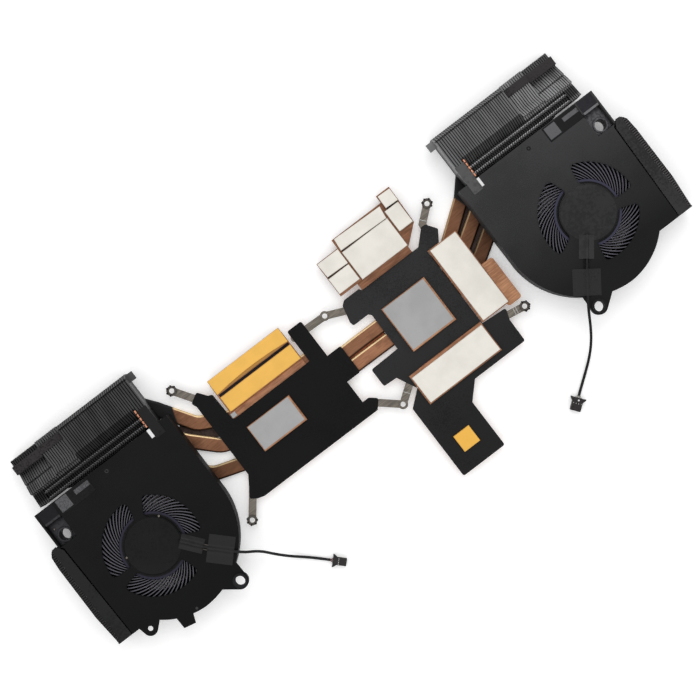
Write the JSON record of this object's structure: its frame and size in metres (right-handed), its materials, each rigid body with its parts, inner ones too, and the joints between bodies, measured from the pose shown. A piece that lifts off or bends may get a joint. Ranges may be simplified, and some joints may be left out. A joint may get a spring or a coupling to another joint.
{
  "type": "laptop cooling fan heatsink",
  "caption": "Flat laptop heatsink, contact side up: copper cold plates joined by flattened heat pipes, with a blower, fin stacks and a plugged lead at each end.",
  "frame": {"origin": "centre of the outer box without the leads, on the plane under the heat pipes", "axes": "+X along the long side, +Y towards the rear fin stacks, +Z out of the contact side"},
  "size_m": [0.3294, 0.1415, 0.0141],
  "materials": {
    "copper": "satin",
    "spring_steel": "satin",
    "film": "matte",
    "paste": "matte",
    "pad_amber": "matte",
    "pad_white": "matte",
    "pad_memory": "matte",
    "pad_tail": "matte",
    "ring_plastic": "matte",
    "grommet_rubber": "matte",
    "label": "satin",
    "bronze": "satin",
    "tape": "satin",
    "cover_metal": "satin",
    "housing_plastic": "matte",
    "lead_sleeve": "satin",
    "foam": "matte",
    "rotor_plastic": "satin",
    "plug_plastic": "satin",
    "magnet": "matte",
    "fin_black": "satin",
    "steel": "polished",
    "coil": "satin"
  },
  "bodies": {
    "heatsink": {"cpu_cold_plate": "copper", "cpu_contact_block": "copper", "cpu_film": "film", "cpu_front_left_arm": "spring_steel", "cpu_front_right_arm": "spring_steel", "cpu_paste": "paste", "cpu_rear_left_arm": "spring_steel", "cpu_rear_right_arm": "spring_steel", "cpu_regulator_pads": "pad_amber", "cpu_regulator_tray": "copper", "ear_grommets": "grommet_rubber", "fan_labels": "label", "front_shared_pipe": "copper", "gpu_cold_plate": "copper", "gpu_contact_block": "copper", "gpu_film": "film", "gpu_front_left_arm": "spring_steel", "gpu_front_right_arm": "spring_steel", "gpu_memory_pads": "pad_memory", "gpu_memory_plates": "copper", "gpu_paste": "paste", "gpu_rear_left_arm": "spring_steel", "gpu_rear_right_arm": "spring_steel", "gpu_regulator_pads": "pad_white", "gpu_regulator_plate": "copper", "left_bearing_sleeve": "bronze", "left_entry_tape": "tape", "left_fan_cover": "cover_metal", "left_fan_housing": "housing_plastic", "left_fan_lead": "lead_sleeve", "left_foam_strip": "foam", "left_heat_pipe": "copper", "left_lead_plug": "plug_plastic", "left_lead_tapes": "tape", "left_rear_fin_stack": "fin_black", "left_side_fin_stack": "fin_black", "left_side_tape": "tape", "left_stator": "coil", "rear_shared_pipe": "copper", "retaining_rings": "ring_plastic", "right_bearing_sleeve": "bronze", "right_entry_tape": "tape", "right_fan_cover": "cover_metal", "right_fan_housing": "housing_plastic", "right_fan_lead": "lead_sleeve", "right_foam_strip": "foam", "right_heat_pipe": "copper", "right_lead_plug": "plug_plastic", "right_lead_tapes": "tape", "right_rear_fin_stack": "fin_black", "right_side_fin_stack": "fin_black", "right_side_tape": "tape", "right_stator": "coil", "tail_pad": "pad_tail"},
    "left_rotor": {"left_impeller": "rotor_plastic", "left_magnet_ring": "magnet", "left_shaft": "steel"},
    "right_rotor": {"right_impeller": "rotor_plastic", "right_magnet_ring": "magnet", "right_shaft": "steel"}
  },
  "joints": [
    {"name": "left_fan_spin", "type": "hinge", "parent": "heatsink", "child": "left_rotor", "pos_m": [-0.1243, -0.0042, 0.007], "axis": [0, 0, 1], "continuous": true},
    {"name": "right_fan_spin", "type": "hinge", "parent": "heatsink", "child": "right_rotor", "pos_m": [0.1243, -0.0042, 0.007], "axis": [0, 0, 1], "continuous": true}
  ]
}
